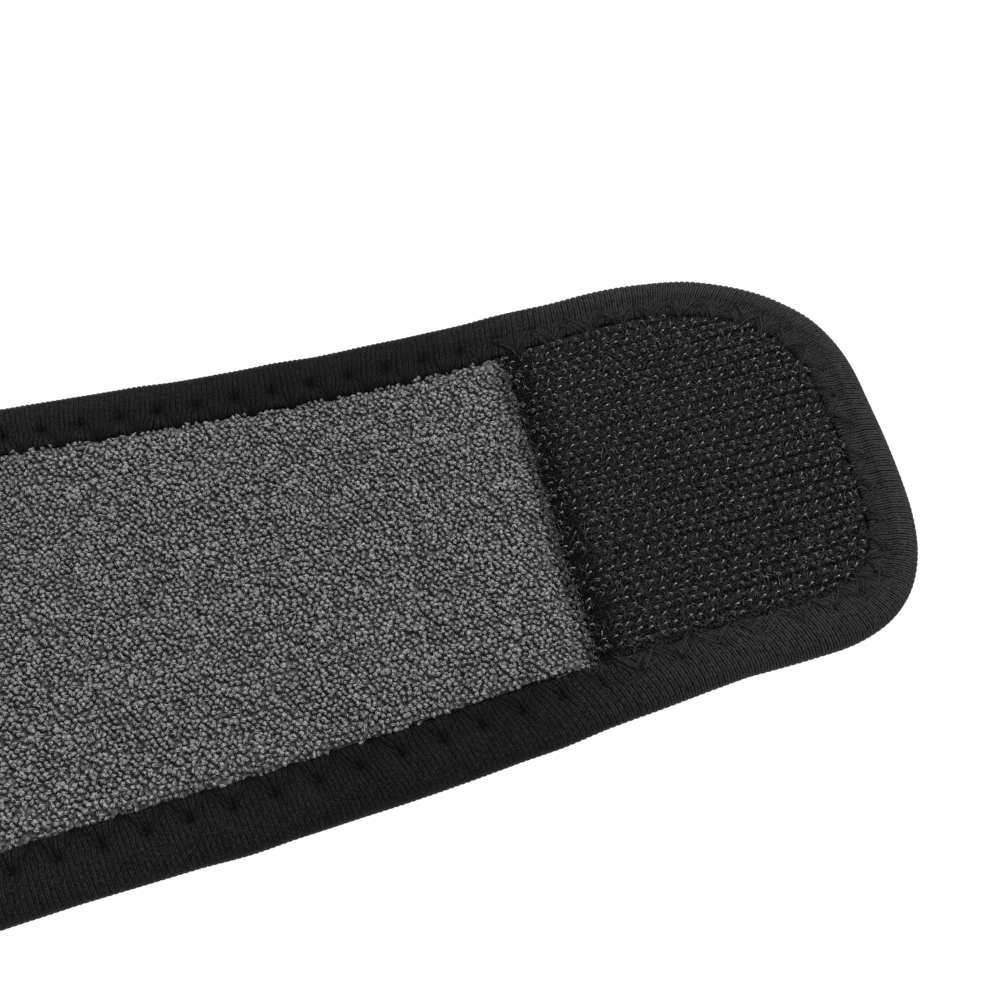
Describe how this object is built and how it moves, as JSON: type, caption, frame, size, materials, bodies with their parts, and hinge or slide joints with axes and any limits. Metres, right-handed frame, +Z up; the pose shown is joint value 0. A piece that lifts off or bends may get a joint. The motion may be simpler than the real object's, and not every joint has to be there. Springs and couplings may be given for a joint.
{
  "type": "knee support wrap band",
  "caption": "Padded wrap-round knee support band lying open and flat, with a grey terry lining, a black ribbed edge binding and a hook-fastener patch on its tab end.",
  "frame": {"origin": "Centre of the underside, on the table the band lies on.", "axes": "+X along the band toward the tip of the hook tab, +Y across it toward its back edge, +Z up out of the terry lining."},
  "size_m": [0.4, 0.069, 0.0086],
  "materials": {
    "loop_knit_black": "matte",
    "terry_grey": "matte",
    "hook_nylon_black": "satin",
    "rib_tape_black": "matte"
  },
  "bodies": {
    "root": {"outer_shell": "loop_knit_black", "terry_lining": "terry_grey", "hook_patch": "hook_nylon_black", "edge_binding": "rib_tape_black"}
  },
  "joints": []
}
